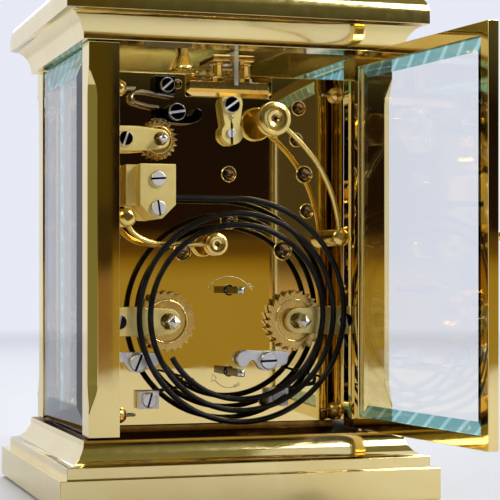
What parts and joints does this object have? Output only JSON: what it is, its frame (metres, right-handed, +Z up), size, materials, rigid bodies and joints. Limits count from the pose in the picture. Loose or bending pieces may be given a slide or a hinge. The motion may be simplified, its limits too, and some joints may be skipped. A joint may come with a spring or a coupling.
{
  "type": "carriage clock",
  "caption": "Brass carriage clock with glazed sides, an open back door, a folding handle and a gong-striking movement with an alarm.",
  "frame": {"origin": "middle of the underside of the base", "axes": "+Z up; the dial faces -Y and the door opens at +Y"},
  "size_m": [0.0998, 0.142, 0.1409],
  "materials": {
    "gilt_brass": "polished and gilt",
    "frosted_brass": "fine satin",
    "bright_steel": "polished",
    "black_steel": "blackened",
    "blued_steel": "blued",
    "clear_glass": "polished, bevelled",
    "enamel": "glossy white"
  },
  "bodies": {
    "case": {"base": "gilt_brass", "cornice": "gilt_brass", "pillar_front_left": "gilt_brass", "pillar_front_right": "gilt_brass", "pillar_rear_left": "gilt_brass", "pillar_rear_right": "gilt_brass", "glass_front": "clear_glass", "glass_left": "clear_glass", "glass_right": "clear_glass", "glass_top": "clear_glass", "handle_post_left": "gilt_brass", "handle_post_right": "gilt_brass", "front_plate": "gilt_brass", "back_plate": "gilt_brass", "dial": "enamel", "going_cock": "frosted_brass", "strike_cock": "frosted_brass", "alarm_cock": "frosted_brass", "going_click_spring": "bright_steel", "strike_click_spring": "bright_steel", "alarm_click_spring": "blued_steel", "gong": "black_steel", "gong_block": "frosted_brass", "contrate_cock": "frosted_brass", "platform": "gilt_brass", "platform_cock": "gilt_brass"},
    "door": {"door_frame": "gilt_brass", "door_glass": "clear_glass", "door_knob": "gilt_brass"},
    "handle": {"handle": "gilt_brass"},
    "repeat_button": {"repeat_button": "gilt_brass"},
    "going_winding": {"going_arbor": "bright_steel", "going_ratchet": "gilt_brass"},
    "strike_winding": {"strike_arbor": "bright_steel", "strike_ratchet": "gilt_brass"},
    "alarm_winding": {"alarm_arbor": "bright_steel", "alarm_ratchet": "gilt_brass"},
    "going_click": {"going_click": "bright_steel"},
    "strike_click": {"strike_click": "bright_steel"},
    "alarm_click": {"alarm_click": "blued_steel"},
    "strike_hammer": {"strike_hammer": "gilt_brass"},
    "alarm_hammer": {"alarm_hammer": "gilt_brass"},
    "set_arbor": {"set_arbor": "bright_steel"},
    "minute_hand": {"minute_hand": "blued_steel"},
    "hour_hand": {"hour_hand": "blued_steel"},
    "alarm_setting": {"alarm_set_arbor": "bright_steel", "alarm_hand": "blued_steel"},
    "going_barrel": {"going_barrel": "gilt_brass"},
    "intermediate_wheel": {"intermediate_wheel": "gilt_brass"},
    "centre_wheel": {"centre_wheel": "gilt_brass"},
    "third_wheel": {"third_wheel": "gilt_brass"},
    "contrate_wheel": {"contrate_wheel": "gilt_brass"},
    "escape_wheel": {"escape_wheel": "bright_steel"},
    "strike_barrel": {"strike_barrel": "gilt_brass"},
    "strike_wheel": {"strike_wheel": "gilt_brass"},
    "pin_wheel": {"pin_wheel": "gilt_brass"},
    "fly": {"fly": "gilt_brass"},
    "alarm_barrel": {"alarm_barrel": "gilt_brass"},
    "balance_wheel": {"balance_wheel": "gilt_brass"},
    "regulator_index": {"regulator_index": "bright_steel"}
  },
  "joints": [
    {"name": "door_hinge", "type": "hinge", "parent": "case", "child": "door", "pos_m": [-0.0314, 0.03385, 0.067], "axis": [0, 0, 1], "range_deg": [-96.5, 2.5]},
    {"name": "handle_swing", "type": "hinge", "parent": "case", "child": "handle", "pos_m": [0, 0, 0.138], "axis": [1, 0, 0], "range_deg": [0, 165]},
    {"name": "repeat_press", "type": "slide", "parent": "case", "child": "repeat_button", "axis": [0, 0, -1], "range_m": [0, 0.0024], "stiffness_N_per_m": 150},
    {"name": "going_wind", "type": "hinge", "parent": "case", "child": "going_winding", "pos_m": [0.0177, 0.0198, 0.0464], "axis": [0, 1, 0], "continuous": true},
    {"name": "strike_wind", "type": "hinge", "parent": "case", "child": "strike_winding", "pos_m": [-0.0177, 0.0198, 0.0464], "axis": [0, 1, 0], "continuous": true},
    {"name": "alarm_wind", "type": "hinge", "parent": "case", "child": "alarm_winding", "pos_m": [0.0199, 0.0198, 0.0935], "axis": [0, 1, 0], "continuous": true},
    {"name": "going_click_pivot", "type": "hinge", "parent": "case", "child": "going_click", "pos_m": [0.0254, 0.0198, 0.0358], "axis": [0, 1, 0], "range_deg": [-8, 0], "stiffness_Nm_per_rad": 0.003, "springref_deg": 1.15, "deforming": ["going_click_spring"]},
    {"name": "strike_click_pivot", "type": "hinge", "parent": "case", "child": "strike_click", "pos_m": [-0.01, 0.0198, 0.0358], "axis": [0, 1, 0], "range_deg": [-8, 0], "stiffness_Nm_per_rad": 0.003, "springref_deg": 1.15, "deforming": ["strike_click_spring"]},
    {"name": "alarm_click_pivot", "type": "hinge", "parent": "case", "child": "alarm_click", "pos_m": [0.015, 0.0198, 0.1008], "axis": [0, 1, 0], "range_deg": [-8, 0], "stiffness_Nm_per_rad": 0.003, "springref_deg": 1.15, "deforming": ["alarm_click_spring"]},
    {"name": "strike_hammer_swing", "type": "hinge", "parent": "case", "child": "strike_hammer", "pos_m": [-0.0284, 0.0198, 0.0684], "axis": [0, 1, 0], "range_deg": [0, 34], "stiffness_Nm_per_rad": 0.03, "springref_deg": -2.86},
    {"name": "alarm_hammer_swing", "type": "hinge", "parent": "case", "child": "alarm_hammer", "pos_m": [0.029, 0.0198, 0.0731], "axis": [0, 1, 0], "range_deg": [-9, 0], "stiffness_Nm_per_rad": 0.03, "springref_deg": 2.86},
    {"name": "hand_setting", "type": "hinge", "parent": "case", "child": "set_arbor", "pos_m": [0, 0.0198, 0.0545], "axis": [0, 1, 0], "continuous": true},
    {"name": "minute_turn", "type": "hinge", "parent": "case", "child": "minute_hand", "pos_m": [0, 0.0198, 0.0729], "axis": [0, 1, 0], "continuous": true},
    {"name": "hour_turn", "type": "hinge", "parent": "case", "child": "hour_hand", "pos_m": [0, 0.0198, 0.0729], "axis": [0, 1, 0], "continuous": true},
    {"name": "alarm_setting_turn", "type": "hinge", "parent": "case", "child": "alarm_setting", "pos_m": [0, 0.0198, 0.0331], "axis": [0, 1, 0], "continuous": true},
    {"name": "going_barrel_turn", "type": "hinge", "parent": "case", "child": "going_barrel", "pos_m": [0.0177, 0, 0.0464], "axis": [0, 1, 0], "continuous": true},
    {"name": "intermediate_turn", "type": "hinge", "parent": "case", "child": "intermediate_wheel", "pos_m": [0.0127, 0, 0.0646], "axis": [0, 1, 0], "continuous": true},
    {"name": "centre_turn", "type": "hinge", "parent": "case", "child": "centre_wheel", "pos_m": [0, 0, 0.0729], "axis": [0, 1, 0], "continuous": true},
    {"name": "third_turn", "type": "hinge", "parent": "case", "child": "third_wheel", "pos_m": [0, 0, 0.0851], "axis": [0, 1, 0], "continuous": true},
    {"name": "contrate_turn", "type": "hinge", "parent": "case", "child": "contrate_wheel", "pos_m": [0, 0, 0.0956], "axis": [0, 1, 0], "continuous": true},
    {"name": "escape_turn", "type": "hinge", "parent": "case", "child": "escape_wheel", "pos_m": [0, -0.0038, 0.11], "axis": [0, 0, 1], "continuous": true},
    {"name": "strike_barrel_turn", "type": "hinge", "parent": "case", "child": "strike_barrel", "pos_m": [-0.0177, 0, 0.0464], "axis": [0, 1, 0], "continuous": true},
    {"name": "strike_wheel_turn", "type": "hinge", "parent": "case", "child": "strike_wheel", "pos_m": [-0.015, 0, 0.065], "axis": [0, 1, 0], "continuous": true},
    {"name": "pin_wheel_turn", "type": "hinge", "parent": "case", "child": "pin_wheel", "pos_m": [-0.0218, 0, 0.0756], "axis": [0, 1, 0], "continuous": true},
    {"name": "fly_turn", "type": "hinge", "parent": "case", "child": "fly", "pos_m": [-0.0211, 0, 0.0854], "axis": [0, 1, 0], "continuous": true},
    {"name": "alarm_barrel_turn", "type": "hinge", "parent": "case", "child": "alarm_barrel", "pos_m": [0.0199, 0, 0.0935], "axis": [0, 1, 0], "continuous": true},
    {"name": "balance_swing", "type": "hinge", "parent": "case", "child": "balance_wheel", "pos_m": [-0.0017, 0.007, 0.112], "axis": [0, 0, 1], "range_deg": [-150, 150], "stiffness_Nm_per_rad": 0.000006},
    {"name": "index_shift", "type": "hinge", "parent": "case", "child": "regulator_index", "pos_m": [-0.0017, 0.007, 0.117], "axis": [0, 0, 1], "range_deg": [-8, 8]}
  ],
  "couplings": [
    {"joint": "hand_setting", "follows": "hour_turn", "ratio": -4},
    {"joint": "minute_turn", "follows": "hour_turn", "ratio": 12},
    {"joint": "intermediate_turn", "follows": "going_barrel_turn", "ratio": -4},
    {"joint": "centre_turn", "follows": "going_barrel_turn", "ratio": 16},
    {"joint": "third_turn", "follows": "going_barrel_turn", "ratio": -80},
    {"joint": "contrate_turn", "follows": "going_barrel_turn", "ratio": 320},
    {"joint": "escape_turn", "follows": "going_barrel_turn", "ratio": -1600},
    {"joint": "strike_wheel_turn", "follows": "strike_barrel_turn", "ratio": -4},
    {"joint": "pin_wheel_turn", "follows": "strike_barrel_turn", "ratio": 20},
    {"joint": "fly_turn", "follows": "strike_barrel_turn", "ratio": -120}
  ]
}
